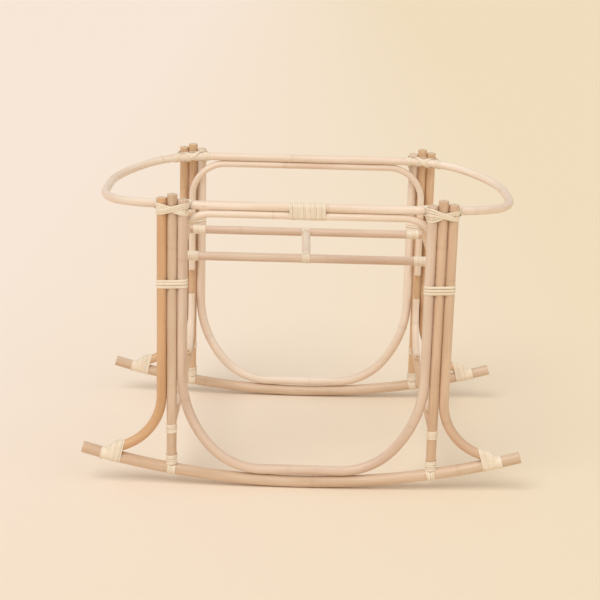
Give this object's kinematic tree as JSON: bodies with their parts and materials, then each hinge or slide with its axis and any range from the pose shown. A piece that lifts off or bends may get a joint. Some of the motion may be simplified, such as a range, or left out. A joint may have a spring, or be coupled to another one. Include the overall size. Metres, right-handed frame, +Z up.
{
  "type": "bassinet stand",
  "caption": "Rocking bassinet stand of bent peeled cane: oval top ring, lashed triple legs, looped side frames, shelf rails and curved rockers.",
  "frame": {"origin": "bottom centre of the stand's box, on the floor midway between the rockers", "axes": "+X along the rockers, +Y from the front frame to the rear frame, +Z up"},
  "size_m": [0.8666, 0.5776, 0.5834],
  "materials": {
    "cane": "satin clear lacquer on peeled cane",
    "cane_strip": "pale split cane strip, matt to satin",
    "steel": "plain bright nails and screws"
  },
  "bodies": {
    "root": {"arch_nails": "steel", "cross_bar_screws": "steel", "front_arch": "cane", "front_left_corner_brace": "cane", "front_left_mid_band": "cane_strip", "front_left_outer_leg": "cane", "front_left_post": "cane", "front_left_rail_wrap": "cane_strip", "front_left_rocker_wrap": "cane_strip", "front_left_stretcher_wrap": "cane_strip", "front_left_tip_wrap": "cane_strip", "front_left_top_lashing": "cane_strip", "front_right_corner_brace": "cane", "front_right_mid_band": "cane_strip", "front_right_outer_leg": "cane", "front_right_post": "cane", "front_right_rail_wrap": "cane_strip", "front_right_rocker_wrap": "cane_strip", "front_right_stretcher_wrap": "cane_strip", "front_right_tip_wrap": "cane_strip", "front_right_top_lashing": "cane_strip", "front_rocker": "cane", "front_shelf_rail": "cane", "front_strut_wrap": "cane_strip", "front_u_loop": "cane", "left_cross_bar": "cane", "left_stretcher": "cane", "rail_screws": "steel", "rear_arch": "cane", "rear_left_corner_brace": "cane", "rear_left_mid_band": "cane_strip", "rear_left_outer_leg": "cane", "rear_left_post": "cane", "rear_left_rail_wrap": "cane_strip", "rear_left_rocker_wrap": "cane_strip", "rear_left_stretcher_wrap": "cane_strip", "rear_left_tip_wrap": "cane_strip", "rear_left_top_lashing": "cane_strip", "rear_right_corner_brace": "cane", "rear_right_mid_band": "cane_strip", "rear_right_outer_leg": "cane", "rear_right_post": "cane", "rear_right_rail_wrap": "cane_strip", "rear_right_rocker_wrap": "cane_strip", "rear_right_stretcher_wrap": "cane_strip", "rear_right_tip_wrap": "cane_strip", "rear_right_top_lashing": "cane_strip", "rear_rocker": "cane", "rear_shelf_rail": "cane", "rear_strut_wrap": "cane_strip", "rear_u_loop": "cane", "right_cross_bar": "cane", "right_stretcher": "cane", "ring_centre_wrap": "cane_strip", "ring_nails": "steel", "rocker_screws": "steel", "shelf_strut": "cane", "stretcher_screws": "steel", "top_ring": "cane"}
  },
  "joints": []
}
